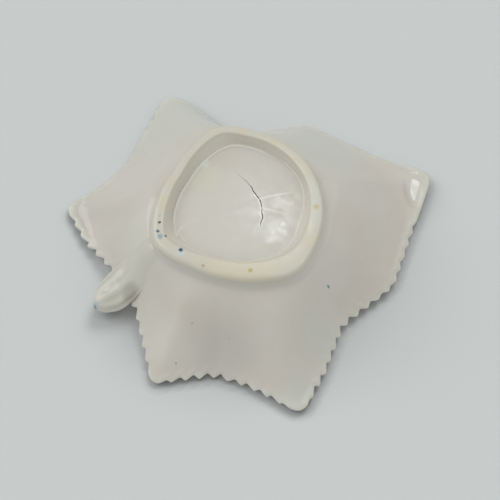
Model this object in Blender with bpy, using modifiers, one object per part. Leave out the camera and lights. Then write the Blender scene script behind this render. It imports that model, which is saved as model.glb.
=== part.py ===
"""Leaf pickle dish: a press-moulded leaf on an applied foot rim, with a stalk for a handle.

Metres, +Z up. The dish stands on its foot and the leaf's tip points along +X.
The pieces are shaped round the foot's centre, then moved together so that the origin lies
under the middle of the dish.
"""

import bmesh
import bpy
import numpy as np

MM = 0.001

# Gap that touching pieces keep.
CLEARANCE = 0.3 * MM

# Leaf: height of the edge's underside over the table, wall at the floor and at the edge.
RIM_HEIGHT = 30.3 * MM
FLOOR_WALL = 3.0 * MM
EDGE_WALL = 1.5 * MM

# Corners of the leaf's edge, anticlockwise from the tip: bearing from +X in degrees, reach from
# the foot's centre, and how far the edge droops there below RIM_HEIGHT.
TIP = (0.5, 68.0 * MM, 2.8 * MM)
LEFT_SHOULDER = (38.0, 52.3 * MM, 1.8 * MM)
LEFT_NOTCH = (60.5, 44.2 * MM, 0.6 * MM)
LEFT_FLANK = (80.0, 52.8 * MM, 1.4 * MM)
LEFT_LOBE = (91.4, 60.0 * MM, 2.0 * MM)
LEFT_CURL = (107.5, 47.4 * MM, 0.6 * MM)
LEFT_BAY = (119.0, 44.5 * MM, 0.0 * MM)
LEFT_EAR = (139.8, 53.3 * MM, 1.4 * MM)
LEFT_HEEL = (162.0, 37.0 * MM, 4.8 * MM)
RIGHT_HEEL = (185.0, 39.8 * MM, 4.8 * MM)
RIGHT_FLANK = (200.5, 46.6 * MM, 2.8 * MM)
RIGHT_EAR = (215.2, 55.6 * MM, 1.6 * MM)
RIGHT_CURL = (226.5, 48.0 * MM, 0.8 * MM)
RIGHT_BAY = (241.4, 45.8 * MM, 0.0 * MM)
RIGHT_LOBE = (267.8, 58.5 * MM, 2.0 * MM)
RIGHT_CROWN = (274.1, 54.6 * MM, 1.8 * MM)
RIGHT_NOTCH = (290.5, 38.8 * MM, 0.6 * MM)
RIGHT_SHOULDER = (325.0, 49.7 * MM, 1.8 * MM)
RIGHT_DIP = (350.5, 56.8 * MM, 2.4 * MM)
EDGE_CORNERS = (
    TIP, LEFT_SHOULDER, LEFT_NOTCH, LEFT_FLANK, LEFT_LOBE, LEFT_CURL, LEFT_BAY, LEFT_EAR,
    LEFT_HEEL, RIGHT_HEEL, RIGHT_FLANK, RIGHT_EAR, RIGHT_CURL, RIGHT_BAY, RIGHT_LOBE,
    RIGHT_CROWN, RIGHT_NOTCH, RIGHT_SHOULDER, RIGHT_DIP,
)
EDGE_SOFTNESS = 2.0

# Teeth cut into the edge. The points of the leaf are left whole for TOOTH_START on each side,
# and the cuts deepen over TOOTH_FADE from there.
TOOTH_PITCH = 4.3 * MM
TOOTH_DEPTH = 1.25 * MM
TOOTH_START = 0.9 * MM
TOOTH_FADE = 3.0 * MM
POINTS = (TIP, LEFT_LOBE, LEFT_EAR, RIGHT_EAR, RIGHT_LOBE)

# Share of the wall's rise that eases in and out; the rest climbs evenly.
WALL_EASE = 0.45

# Foot rim: its height and width, and the corners of half of its outer outline, from the front
# round to the stalk, as bearing and reach. The other half mirrors them.
FOOT_HEIGHT = 5.0 * MM
FOOT_WIDTH = 4.2 * MM
FOOT_HALF = (
    (0.0, 27.3 * MM), (26.0, 26.8 * MM), (52.0, 27.0 * MM), (76.0, 28.1 * MM),
    (104.0, 23.4 * MM), (135.0, 22.1 * MM), (160.0, 24.1 * MM), (180.0, 26.4 * MM),
)
FOOT_CORNERS = FOOT_HALF + tuple((360.0 - turn, reach) for turn, reach in FOOT_HALF[-2:0:-1])
FOOT_SOFTNESS = 7.0
# Roundness of the rim's section: 1 is round, and the square root of 2 is square.
FOOT_SQUARENESS = 1.14

# Slip wiped into the corners between the foot rim and the leaf.
SLIP_SIZE = 2.0 * MM

# Stalk: its thickness and width, its bearing, and how far it runs past the leaf's edge.
STALK_WIDTH = 9.0 * MM
STALK_THICKNESS = 8.0 * MM
STALK_BEARING = 174.5
STALK_REACH = 11.0 * MM
# How far the stalk stands proud of the leaf's underside at the foot and at its free end, and
# the length over which it bends at the leaf's edge.
STALK_PROUD_FOOT = 2.6 * MM
STALK_PROUD_END = 4.6 * MM
STALK_BEND = 6.0 * MM
# Gap between the stalk and the steep wall, measured upright.
STALK_GAP = 1.6 * CLEARANCE

# Mesh steps: rings across the floor and up the wall, and steps round the foot and the stalk.
FLOOR_RINGS = 2
WALL_RINGS = 8
FOOT_STEPS = 96
STALK_RINGS = 22
STALK_SIDES = 16

CIRCLE = np.arange(0.0, 360.0, 0.25)


def softened(values, degrees):
    """Values all round the circle, blurred by a bell curve this many degrees wide."""
    offset = np.minimum(CIRCLE, 360.0 - CIRCLE)
    bell = np.exp(-0.5 * (offset / degrees) ** 2)
    spectrum = np.fft.rfft(values) * np.fft.rfft(bell / bell.sum())
    return np.fft.irfft(spectrum, len(CIRCLE))


def straight_between(corners):
    """Reach, all round the circle, of straight lines drawn from corner to corner."""
    bearing = np.array([corner[0] for corner in corners])
    reach = np.array([corner[1] for corner in corners])
    first = np.searchsorted(bearing, CIRCLE, side="right") - 1
    second = (first + 1) % len(corners)
    from_first = np.radians(CIRCLE - bearing[first])
    to_second = np.radians((bearing[second] - CIRCLE) % 360.0)
    span = np.sin(from_first + to_second)
    across = reach[first] * np.sin(from_first) + reach[second] * np.sin(to_second)
    return reach[first] * reach[second] * span / across


EDGE_REACH = softened(straight_between(EDGE_CORNERS), EDGE_SOFTNESS)
EDGE_HEIGHT = RIM_HEIGHT - softened(
    np.interp(CIRCLE, [c[0] for c in EDGE_CORNERS], [c[2] for c in EDGE_CORNERS], period=360.0),
    EDGE_SOFTNESS,
)
FOOT_REACH = softened(straight_between(FOOT_CORNERS), FOOT_SOFTNESS)


def around(table, bearing):
    """Value of a table of the circle at these bearings."""
    return np.interp(bearing, CIRCLE, table, period=360.0)


def floor_reach(bearing):
    """Edge of the leaf's flat floor, which carries the foot rim and its slip."""
    return around(FOOT_REACH, bearing) + SLIP_SIZE + CLEARANCE


def climb(share):
    """Rise of the wall from the floor's edge, 0, to the leaf's edge, 1."""
    eased = share * share * (3.0 - 2.0 * share)
    return share + WALL_EASE * (eased - share)


def underside(bearing, reach):
    """Height of the leaf's underside at a bearing and reach."""
    start = floor_reach(bearing)
    share = np.clip((reach - start) / (around(EDGE_REACH, bearing) - start), 0.0, 1.0)
    return FOOT_HEIGHT + (around(EDGE_HEIGHT, bearing) - FOOT_HEIGHT) * climb(share)


def tooth_places():
    """Bearings of the points and gaps of the teeth, in turn, and the cut at each."""
    turn = np.append(CIRCLE, 360.0)
    reach = around(EDGE_REACH, turn)
    x = reach * np.cos(np.radians(turn))
    y = reach * np.sin(np.radians(turn))
    run = np.append(0.0, np.cumsum(np.hypot(np.diff(x), np.diff(y))))
    teeth = round(run[-1] / TOOTH_PITCH)
    place = np.arange(2 * teeth) * run[-1] / (2 * teeth)
    tip_runs = np.interp([point[0] for point in POINTS], turn, run)
    apart = np.abs(place[:, None] - tip_runs[None, :])
    apart = np.minimum(apart, run[-1] - apart).min(axis=1)
    fade = np.clip((apart - TOOTH_START) / TOOTH_FADE, 0.0, 1.0)
    return np.interp(place, run, turn), TOOTH_DEPTH * fade * (np.arange(2 * teeth) % 2)


def polar(bearing, reach, height):
    """Points at bearings, reaches and heights, as rows of x, y, z."""
    angle = np.radians(bearing)
    rows = np.broadcast_arrays(reach * np.cos(angle), reach * np.sin(angle), height)
    return np.stack(rows, axis=-1)


def collection_named(name):
    """New collection in the scene."""
    made = bpy.data.collections.new(name)
    bpy.context.scene.collection.children.link(made)
    return made


def take_primitive(name, collection):
    """Name the primitive just added and move it to its collection."""
    made = bpy.context.object
    made.name = name
    made.data.name = name
    for held in list(made.users_collection):
        held.objects.unlink(made)
    collection.objects.link(made)
    return made


def coordinates(made):
    """Vertices of an object's mesh, as rows of x, y, z."""
    flat = np.empty(len(made.data.vertices) * 3)
    made.data.vertices.foreach_get("co", flat)
    return flat.reshape(-1, 3)


def reshape(made, points):
    """Move an object's vertices, weld those that meet and turn its faces outwards."""
    made.data.vertices.foreach_set("co", np.ascontiguousarray(points).ravel())
    mesh = bmesh.new()
    mesh.from_mesh(made.data)
    bmesh.ops.remove_doubles(mesh, verts=mesh.verts, dist=0.01 * MM)
    bmesh.ops.recalc_face_normals(mesh, faces=mesh.faces)
    mesh.to_mesh(made.data)
    mesh.free()
    made.data.update()


def grid_round(name, collection, rings, steps):
    """Grid to be wrapped round the pole, with the ring and step of each vertex."""
    bpy.ops.mesh.primitive_grid_add(x_subdivisions=rings, y_subdivisions=steps, size=2.0)
    made = take_primitive(name, collection)
    place = coordinates(made)
    ring = np.rint((place[:, 0] + 1.0) / 2.0 * rings).astype(int)
    step = np.rint((place[:, 1] + 1.0) / 2.0 * steps).astype(int) % steps
    return made, ring, step


def finish(made, colour, roughness):
    """Shade a piece smooth and give it a glazed material of its own."""
    made.data.shade_smooth()
    made.data.set_sharp_from_angle(angle=np.radians(40.0))
    material = bpy.data.materials.new(made.name + "_glaze")
    material.use_nodes = True
    shader = material.node_tree.nodes["Principled BSDF"]
    shader.inputs["Base Color"].default_value = (*colour, 1.0)
    shader.inputs["Roughness"].default_value = roughness
    shader.inputs["Metallic"].default_value = 0.0
    made.data.materials.append(material)
    return made


def leaf_body(parts):
    """Toothed leaf: a flat floor and climbing walls, thinning towards the edge."""
    bearings, cuts = tooth_places()
    rings = FLOOR_RINGS + WALL_RINGS
    leaf, ring, step = grid_round("leaf_body", parts, rings, len(bearings))
    bearing = bearings[step]
    floor = floor_reach(bearing)
    edge = around(EDGE_REACH, bearing)
    on_wall = np.clip((ring - FLOOR_RINGS) / WALL_RINGS, 0.0, 1.0)
    on_floor = np.clip(ring / FLOOR_RINGS, 0.0, 1.0)
    reach = on_floor * floor + on_wall * (edge - floor)
    height = underside(bearing, reach)
    reach = reach - np.where(ring == rings, cuts[step], 0.0)
    leaf.vertex_groups.new(name="wall")
    reshape(leaf, polar(bearing, reach, height))

    if sum(face.normal.z for face in leaf.data.polygons) < 0.0:
        leaf.data.flip_normals()
    group = leaf.vertex_groups["wall"]
    place = coordinates(leaf)
    turn = np.degrees(np.arctan2(place[:, 1], place[:, 0])) % 360.0
    start = floor_reach(turn)
    share = (np.hypot(place[:, 0], place[:, 1]) - start) / (around(EDGE_REACH, turn) - start)
    for index, weight in enumerate(1.0 - np.clip(share, 0.0, 1.0)):
        group.add([index], weight, "REPLACE")

    wall = leaf.modifiers.new("wall", "SOLIDIFY")
    wall.thickness = FLOOR_WALL
    wall.offset = 1.0
    wall.vertex_group = group.name
    wall.thickness_vertex_group = EDGE_WALL / FLOOR_WALL
    return finish(leaf, (0.56, 0.54, 0.48), 0.25)


def ring_round_foot(name, parts, sides, section):
    """Ring that follows the foot's outline; section gives offset and height for an angle."""
    bpy.ops.mesh.primitive_torus_add(
        major_segments=FOOT_STEPS, minor_segments=sides, major_radius=1.0, minor_radius=0.4
    )
    ring = take_primitive(name, parts)
    place = coordinates(ring)
    bearing = np.degrees(np.arctan2(place[:, 1], place[:, 0])) % 360.0
    angle = np.arctan2(place[:, 2], np.hypot(place[:, 0], place[:, 1]) - 1.0)
    offset, height = section(angle)
    reshape(ring, polar(bearing, around(FOOT_REACH, bearing) + offset, height))
    return ring


def foot_rim(parts):
    """Standing ring with rounded corners and a flat face underneath."""
    top = FOOT_HEIGHT - CLEARANCE

    def section(angle):
        across = np.clip(FOOT_SQUARENESS * np.cos(angle), -1.0, 1.0)
        up = np.clip(FOOT_SQUARENESS * np.sin(angle), -1.0, 1.0)
        return (across - 1.0) * FOOT_WIDTH / 2.0, (up + 1.0) * top / 2.0

    return finish(ring_round_foot("foot_rim", parts, 20, section), (0.60, 0.57, 0.46), 0.3)


def slip_section(corner, outward):
    """Section of a wiped fillet: two legs from the corner and a hollow face between them."""
    top = FOOT_HEIGHT - CLEARANCE
    side = np.array([1.0, 0.5, 0.0, 0.0, 0.0, 0.3])
    down = np.array([0.0, 0.0, 0.0, 0.5, 1.0, 0.3])

    def section(angle):
        step = np.rint(angle / (np.pi / 3.0)).astype(int) % 6
        return corner + outward * SLIP_SIZE * side[step], top - SLIP_SIZE * down[step]

    return section


def foot_slip_outer(parts):
    """Slip fillet round the outside of the foot rim."""
    ring = ring_round_foot("foot_slip_outer", parts, 6, slip_section(CLEARANCE, 1.0))
    return finish(ring, (0.55, 0.54, 0.47), 0.25)


def foot_slip_inner(parts):
    """Slip fillet round the inside of the foot rim."""
    section = slip_section(-FOOT_WIDTH - CLEARANCE, -1.0)
    ring = ring_round_foot("foot_slip_inner", parts, 6, section)
    return finish(ring, (0.57, 0.55, 0.46), 0.25)


def stalk_line(share):
    """Centre of the stalk, from inside the foot, 0, to its free end, 1."""
    start = around(FOOT_REACH, STALK_BEARING) - STALK_WIDTH / 2.0
    edge = around(EDGE_REACH, STALK_BEARING)
    end = edge + STALK_REACH
    reach = start + (end - start) * share
    nearby = reach[:, None] + np.linspace(-0.5, 0.5, 9) * STALK_BEND
    seat = underside(STALK_BEARING, np.minimum(nearby, edge)).mean(axis=1)
    proud = STALK_PROUD_FOOT + (STALK_PROUD_END - STALK_PROUD_FOOT) * share
    return reach, seat + STALK_THICKNESS / 2.0 - proud


def stalk_handle(parts, cutters):
    """Rounded rod pressed against the leaf, cut to its underside and to the foot."""
    bpy.ops.mesh.primitive_uv_sphere_add(segments=STALK_SIDES, ring_count=STALK_RINGS, radius=1.0)
    stalk = take_primitive("stalk_handle", parts)
    place = coordinates(stalk)
    along = (1.0 - np.round(place[:, 2], 6)) / 2.0
    turn = np.arctan2(place[:, 1], place[:, 0])
    girth = (1.0 - np.abs(2.0 * along - 1.0) ** 6) ** (1.0 / 3.0)
    reach, height = stalk_line(along)
    swing = np.degrees(STALK_WIDTH / 2.0 * girth * np.cos(turn) / reach)
    rise = STALK_THICKNESS / 2.0 * girth * np.sin(turn)
    reshape(stalk, polar(STALK_BEARING + swing, reach, height + rise))
    for cutter in (leaf_block(cutters), foot_block(cutters)):
        cut = stalk.modifiers.new(cutter.name, "BOOLEAN")
        cut.operation = "DIFFERENCE"
        cut.solver = "MANIFOLD"
        cut.object = cutter
    return finish(stalk, (0.57, 0.56, 0.48), 0.22)


def hide_cutter(cutter):
    """Keep a cutter out of the finished part."""
    cutter.hide_render = True
    cutter.display_type = "WIRE"
    return cutter


def leaf_block(cutters):
    """All the space above the leaf's underside, less the clearance."""
    bearings, cuts = tooth_places()
    rings = FLOOR_RINGS + WALL_RINGS + 2
    block, ring, step = grid_round("leaf_block", cutters, rings, len(bearings))
    bearing = bearings[step]
    floor = floor_reach(bearing)
    edge = around(EDGE_REACH, bearing)
    on_wall = np.clip((ring - FLOOR_RINGS) / WALL_RINGS, 0.0, 1.0)
    on_floor = np.clip(ring / FLOOR_RINGS, 0.0, 1.0)
    reach = on_floor * floor + on_wall * (edge + CLEARANCE - floor)
    height = underside(bearing, reach) - STALK_GAP
    lid = ring > FLOOR_RINGS + WALL_RINGS
    reach = np.where(ring == rings, 0.0, reach)
    height = np.where(lid, RIM_HEIGHT + STALK_THICKNESS, height)
    reshape(block, polar(bearing, reach, height))
    return hide_cutter(block)


def foot_block(cutters):
    """The foot rim and its slip as one plug, with the clearance round it."""
    bpy.ops.mesh.primitive_cylinder_add(vertices=FOOT_STEPS, radius=1.0, depth=2.0)
    block = take_primitive("foot_block", cutters)
    place = coordinates(block)
    bearing = np.degrees(np.arctan2(place[:, 1], place[:, 0])) % 360.0
    reach = around(FOOT_REACH, bearing) + SLIP_SIZE + 2.0 * CLEARANCE
    reshape(block, polar(bearing, reach, place[:, 2] * RIM_HEIGHT))
    return hide_cutter(block)


def centre_under(parts, cutters, name):
    """Parent everything to an empty that puts the origin under the middle of the dish."""
    bpy.context.view_layer.update()
    graph = bpy.context.evaluated_depsgraph_get()
    points = np.vstack([coordinates(piece.evaluated_get(graph)) for piece in parts.objects])
    middle = (points.min(axis=0) + points.max(axis=0)) / 2.0
    frame = bpy.data.objects.new(name, None)
    frame.location = (-middle[0], -middle[1], 0.0)
    for piece in [*parts.objects, *cutters.objects]:
        piece.parent = frame
    parts.objects.link(frame)


def main():
    for old in list(bpy.data.objects):
        bpy.data.objects.remove(old)
    parts = collection_named("pickle_dish")
    cutters = collection_named("cutters")
    leaf_body(parts)
    foot_rim(parts)
    foot_slip_outer(parts)
    foot_slip_inner(parts)
    stalk_handle(parts, cutters)
    centre_under(parts, cutters, "pickle_dish_frame")


if __name__ == "__main__":
    main()
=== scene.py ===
"""Leaf pickle dish in white glaze, dressed for rendering.

The dish stands on its foot at z = 0 with its tip along +X. The camera sees it from underneath,
as it lies turned over on a table.
"""

import bpy
import numpy as np
from bpy.props import FloatProperty, FloatVectorProperty, IntProperty, PointerProperty
from mathutils import Matrix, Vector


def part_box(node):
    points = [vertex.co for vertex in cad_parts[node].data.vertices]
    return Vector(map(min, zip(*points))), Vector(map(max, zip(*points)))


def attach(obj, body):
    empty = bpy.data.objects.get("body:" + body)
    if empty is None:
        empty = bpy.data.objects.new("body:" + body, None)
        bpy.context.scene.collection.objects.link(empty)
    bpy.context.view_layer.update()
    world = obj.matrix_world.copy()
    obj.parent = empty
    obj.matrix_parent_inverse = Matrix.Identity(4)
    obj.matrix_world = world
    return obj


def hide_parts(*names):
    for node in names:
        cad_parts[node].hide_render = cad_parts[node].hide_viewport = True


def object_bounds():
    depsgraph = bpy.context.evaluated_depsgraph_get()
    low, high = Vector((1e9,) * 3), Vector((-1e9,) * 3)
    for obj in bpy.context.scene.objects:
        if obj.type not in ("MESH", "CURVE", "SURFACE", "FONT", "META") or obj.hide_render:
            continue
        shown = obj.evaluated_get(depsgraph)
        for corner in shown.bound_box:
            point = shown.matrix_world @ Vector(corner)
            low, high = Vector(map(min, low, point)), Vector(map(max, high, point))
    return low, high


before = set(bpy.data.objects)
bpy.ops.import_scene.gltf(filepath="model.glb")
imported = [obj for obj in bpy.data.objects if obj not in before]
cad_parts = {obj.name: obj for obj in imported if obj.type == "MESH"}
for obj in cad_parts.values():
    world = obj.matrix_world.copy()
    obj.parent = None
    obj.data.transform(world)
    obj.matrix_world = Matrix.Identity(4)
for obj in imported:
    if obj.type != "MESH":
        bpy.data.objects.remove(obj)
CAD_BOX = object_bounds()

bl_info = {
    "name": "Pickle dish",
    "version": (1, 0, 0),
    "blender": (4, 5, 0),
    "location": "View3D > Sidebar > Pickle dish",
    "description": "Builds a white-glazed leaf pickle dish and its stage",
    "category": "Add Mesh",
}

MM = 0.001
# Keywords that the settings for lengths and for colours share.
LENGTH = {"unit": "LENGTH", "subtype": "DISTANCE"}
COLOUR = {"subtype": "COLOR", "min": 0.0, "max": 1.0}

# Corners of the leaf's edge, anticlockwise from the tip: bearing from +X in degrees, reach from
# the foot's centre, and how far the edge droops there.
TIP = (0.5, 68.0 * MM, 2.8 * MM)
LEFT_SHOULDER = (38.0, 52.3 * MM, 1.8 * MM)
LEFT_NOTCH = (60.5, 44.2 * MM, 0.6 * MM)
LEFT_FLANK = (80.0, 52.8 * MM, 1.4 * MM)
LEFT_LOBE = (91.4, 60.0 * MM, 2.0 * MM)
LEFT_CURL = (107.5, 47.4 * MM, 0.6 * MM)
LEFT_BAY = (119.0, 44.5 * MM, 0.0 * MM)
LEFT_EAR = (139.8, 53.3 * MM, 1.4 * MM)
LEFT_HEEL = (163.5, 39.2 * MM, 4.8 * MM)
RIGHT_HEEL = (185.0, 39.8 * MM, 4.8 * MM)
RIGHT_FLANK = (200.5, 46.6 * MM, 2.8 * MM)
RIGHT_EAR = (215.2, 55.6 * MM, 1.6 * MM)
RIGHT_CURL = (226.5, 48.0 * MM, 0.8 * MM)
RIGHT_BAY = (241.4, 45.8 * MM, 0.0 * MM)
RIGHT_LOBE = (267.8, 58.5 * MM, 2.0 * MM)
RIGHT_CROWN = (274.1, 54.6 * MM, 1.8 * MM)
RIGHT_NOTCH = (290.5, 38.8 * MM, 0.6 * MM)
RIGHT_SHOULDER = (321.0, 49.0 * MM, 1.8 * MM)
RIGHT_DIP = (350.5, 56.8 * MM, 2.4 * MM)
EDGE_CORNERS = (
    TIP, LEFT_SHOULDER, LEFT_NOTCH, LEFT_FLANK, LEFT_LOBE, LEFT_CURL, LEFT_BAY, LEFT_EAR,
    LEFT_HEEL, RIGHT_HEEL, RIGHT_FLANK, RIGHT_EAR, RIGHT_CURL, RIGHT_BAY, RIGHT_LOBE,
    RIGHT_CROWN, RIGHT_NOTCH, RIGHT_SHOULDER, RIGHT_DIP,
)
# Degrees over which those corners are rounded.
EDGE_ROUNDING = 2.0
# Bearings of the leaf's points, with one beside its tip, how far from each the teeth begin, and
# over what length they grow to their full depth.
POINTS = (TIP[0], 8.0, LEFT_LOBE[0], LEFT_EAR[0], RIGHT_EAR[0], RIGHT_LOBE[0])
TOOTH_STARTS = np.array([6.5, 6.0, 3.2, 1.6, 0.9, 0.9]) * MM
TOOTH_GROWTH = 3.0 * MM
# Stretches where the teeth are worn: middle bearing, share worn away, and the cosines of the turn
# from the middle where the wear begins and where it is full.
WORN_TEETH = (
    (312.0, 0.45, 0.7, 0.9), (18.0, 0.4, 0.85, 0.97), (240.0, 0.75, 0.93, 0.98),
    (283.0, 0.7, 0.95, 0.99),
)

# Crack in the recess, in plan in millimetres from the foot's centre, with the lowest corner and
# the size of the box that it is drawn in.
CRACK = (
    (4.6, -13.4), (5.9, -9.9), (7.2, -7.3), (7.8, -4.9), (8.1, -2.2), (8.6, -0.2), (8.3, 2.1),
    (7.6, 3.6), (7.2, 5.3), (6.1, 6.9), (5.2, 8.4),
)
CRACK_CORNER = (2.0, -14.0)
CRACK_BOX = (8.0, 23.0)
# Along the crack, from 0 to 1: how wide it gapes, and how much of its edge is chipped.
CRACK_GAPE = (
    (0.0, 0.0), (0.06, 0.0), (0.12, 0.2), (0.2, 0.27), (0.35, 0.43), (0.6, 0.68), (0.72, 0.52),
    (0.85, 0.67), (0.95, 0.0),
)
CRACK_CHIPS = ((0.0, 0.0), (0.45, 0.0), (0.52, 0.8), (0.76, 0.8), (0.84, 0.1), (0.95, 0.0))
CRACK_HALO = (0.76, 0.75, 0.69)
CHIPPED_EDGE = (0.8, 0.79, 0.74)
OPEN_CRACK = (0.045, 0.04, 0.034)
# Places in the recess where the glaze is glossier: centre in plan, radius and width of the border
# in millimetres, and the share of the dullness that is left.
GLOSSY_PLACES = (
    ((12.0, 10.0), 0.5, 1.0, 0.2), ((20.0, 3.0), 0.8, 1.0, 0.4), ((16.5, 3.0), 1.4, 1.0, 0.55),
    ((8.6, 10.2), 3.4, 2.0, 0.55),
)

# Veins: start, middle and end in plan, in millimetres from the foot's centre.
RECESS_VEINS = (((9.2, -0.7), (14.8, -0.1), (21.8, 1.8)), ((8.2, 2.4), (11.6, 4.9), (15.1, 8.0)))
FAINT_VEINS = (((-19.0, 1.7), (-16.0, -3.1), (-0.7, 0.4)),)
BOWL_VEINS = (
    ((-42.0, 4.0), (-12.0, 1.0), (60.0, 0.5)),
    ((-24.0, 2.6), (-30.0, 14.0), (-36.0, 29.0)),
    ((-24.0, 2.6), (-31.0, -12.0), (-40.0, -28.0)),
    ((-12.0, 1.6), (-8.0, 22.0), (-1.0, 52.0)),
    ((-12.0, 1.6), (-9.0, -22.0), (-2.0, -51.0)),
    ((4.0, 0.9), (16.0, 14.0), (36.0, 27.0)),
    ((4.0, 0.9), (16.0, -14.0), (36.0, -25.0)),
    ((-3.0, 1.2), (6.0, 20.0), (16.0, 35.0)),
    ((-3.0, 1.2), (6.0, -18.0), (16.0, -32.0)),
    ((18.0, 0.7), (30.0, 8.0), (46.0, 15.0)),
    ((18.0, 0.7), (30.0, -7.0), (46.0, -13.0)),
)

# Places pressed flat in the edge: middle in plan, half width and half length in millimetres, the
# bearing of the length, and the slopes along x and y.
DENTS = (
    (60.0, 4.7, 2.7, 4.6, 105.7, -0.0962, -0.0021),
    (-42.9, -29.4, 1.2, 1.6, 290.0, 0.1185, 0.0741),
)

# Corners of half of the foot's outline, from the front round to the stalk: bearing and reach.
FOOT_HALF = (
    (0.0, 27.3 * MM), (26.0, 26.8 * MM), (52.0, 27.0 * MM), (76.0, 28.1 * MM),
    (104.0, 23.4 * MM), (135.0, 22.1 * MM), (160.0, 24.1 * MM), (180.0, 26.4 * MM),
)
FOOT_CORNERS = FOOT_HALF + tuple((360.0 - turn, reach) for turn, reach in FOOT_HALF[-2:0:-1])
# Lines of the foot in millimetres from its centre: bearing, then the reach of its outer side, of
# the inner edge of its crest and of the recess inside it.
FOOT_LINES = (
    (0.0, 26.4, 23.1, 22.4), (34.0, 27.0, 22.9, 20.0), (56.0, 27.8, 23.0, 20.5),
    (66.0, 28.7, 22.4, 19.9), (76.0, 28.2, 21.2, 18.9), (90.0, 25.6, 19.8, 17.7),
    (114.0, 23.4, 18.2, 16.7), (129.0, 23.2, 18.0, 16.6), (145.0, 23.3, 18.8, 16.9),
    (172.0, 26.5, 22.6, 19.1), (176.0, 26.4, 22.7, 19.3), (190.0, 24.7, 20.9, 18.9),
    (210.0, 22.6, 19.2, 17.6), (232.0, 21.6, 18.6, 17.1), (242.0, 22.0, 19.1, 17.4),
    (261.0, 24.1, 21.2, 18.9), (279.0, 27.3, 24.1, 21.3), (286.0, 27.5, 24.5, 22.1),
    (291.0, 27.1, 24.1, 22.7), (300.0, 26.5, 23.4, 22.4), (324.0, 26.1, 23.2, 22.0),
    (349.0, 26.6, 23.0, 22.4),
)
# How the wall runs out at its edge: bearing, how level it ends, from 0, straight, to 1, level, and
# the share of its run at which it gets there.
WALL_ENDS = (
    (0.0, 1.0, 0.84), (12.0, 0.5, 1.0), (60.0, 0.4, 1.0), (91.0, 0.75, 0.97), (105.0, 0.4, 1.0),
    (140.0, 0.7, 1.0), (155.0, 0.4, 1.0), (195.0, 0.75, 0.97), (212.0, 1.0, 0.86),
    (228.0, 0.4, 1.0), (268.0, 0.55, 1.0), (300.0, 0.3, 1.0), (347.0, 0.5, 1.0),
)
# How far one face of the foot is sunk under the next where they meet, and the heights between
# which the slip has a straight back.
SLIP_LAP = 0.06 * MM
SLIP_BACK = (1.8 * MM, 5.5 * MM)

# Lamps that light only the table and throw the dish's shadow on it: name, direction it shines
# from, level and spread in degrees.
TABLE_LAMPS = (
    ("table_lamp_right", (0.437, -0.411, -0.8), 0.66, 30.0),
    ("table_lamp_left", (-0.62, -0.485, -0.616), 0.36, 44.0),
)
LAMP_SPREAD = 50.0
# The table lies a little inside the top of the dish's box, just past its edge. Both sheets reach
# this many metres from their middle.
TABLE_INSET = 0.25 * MM
SHEET_REACH = 4.0

# Bearings of the tables of the circle, and the step over which slopes are measured.
CIRCLE = np.arange(0.0, 360.0, 0.25)
SLOPE_STEP = 0.2 * MM


class PickleDishLeaf(bpy.types.PropertyGroup):
    """Sizes and colours of the leaf"""

    rim_height: FloatProperty(
        name="Rim height", description="Height of the edge's underside over the table",
        default=30.3 * MM, **LENGTH,
    )
    floor_wall: FloatProperty(
        name="Floor wall", description="Thickness of the floor", default=3.0 * MM, **LENGTH
    )
    edge_wall: FloatProperty(
        name="Edge wall", description="Thickness at the edge", default=1.5 * MM, **LENGTH
    )
    tooth_pitch: FloatProperty(
        name="Tooth pitch", description="Length of one tooth along the edge",
        default=4.3 * MM, **LENGTH,
    )
    tooth_depth: FloatProperty(
        name="Tooth depth", description="Depth of the cuts between the teeth",
        default=1.15 * MM, **LENGTH,
    )
    vein_height: FloatProperty(
        name="Vein height", description="Height of the moulded veins in the bowl",
        default=0.45 * MM, **LENGTH,
    )
    glaze: FloatVectorProperty(
        name="Glaze", description="Colour of the glaze", default=(0.56, 0.54, 0.485), **COLOUR
    )
    edge_glaze: FloatVectorProperty(
        name="Edge glaze", description="Colour of the glaze along the edge",
        default=(0.585, 0.59, 0.51), **COLOUR,
    )
    shine: FloatProperty(name="Roughness", description="Roughness of the glaze", default=0.08)
    blue_wash: FloatVectorProperty(
        name="Blue wash", description="Colour of the brushed edge in the bowl",
        default=(0.115, 0.17, 0.33), **COLOUR,
    )


class PickleDishFoot(bpy.types.PropertyGroup):
    """Sizes and colours of the foot rim and its slip"""

    height: FloatProperty(
        name="Height", description="Height of the foot rim", default=5.0 * MM, **LENGTH
    )
    recess: FloatProperty(
        name="Recess", description="Depth of the recess inside the foot rim",
        default=3.8 * MM, **LENGTH,
    )
    slip: FloatProperty(
        name="Slip", description="How far the slip runs out past the rim's outer side",
        default=1.3 * MM, **LENGTH,
    )
    glaze: FloatVectorProperty(
        name="Glaze", description="Colour of the glaze on the rim",
        default=(0.558, 0.544, 0.456), **COLOUR,
    )
    worn: FloatVectorProperty(
        name="Worn", description="Colour of the bare body where the rim stands",
        default=(0.585, 0.53, 0.405), **COLOUR,
    )
    shine: FloatProperty(name="Roughness", description="Roughness of the glaze", default=0.2)
    # Darker, greener glaze where it pools outside the foot, which also stands for painted shade in
    # that crease.
    pooled: FloatVectorProperty(
        name="Pooled", description="Colour of the glaze where it pools",
        default=(0.50, 0.505, 0.44), **COLOUR,
    )
    # Paler glaze inside the foot: painted light on the shaded inner wall of the recess.
    thin: FloatVectorProperty(
        name="Thin", description="Colour of the glaze where it is wiped thin",
        default=(0.65, 0.63, 0.55), **COLOUR,
    )


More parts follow.
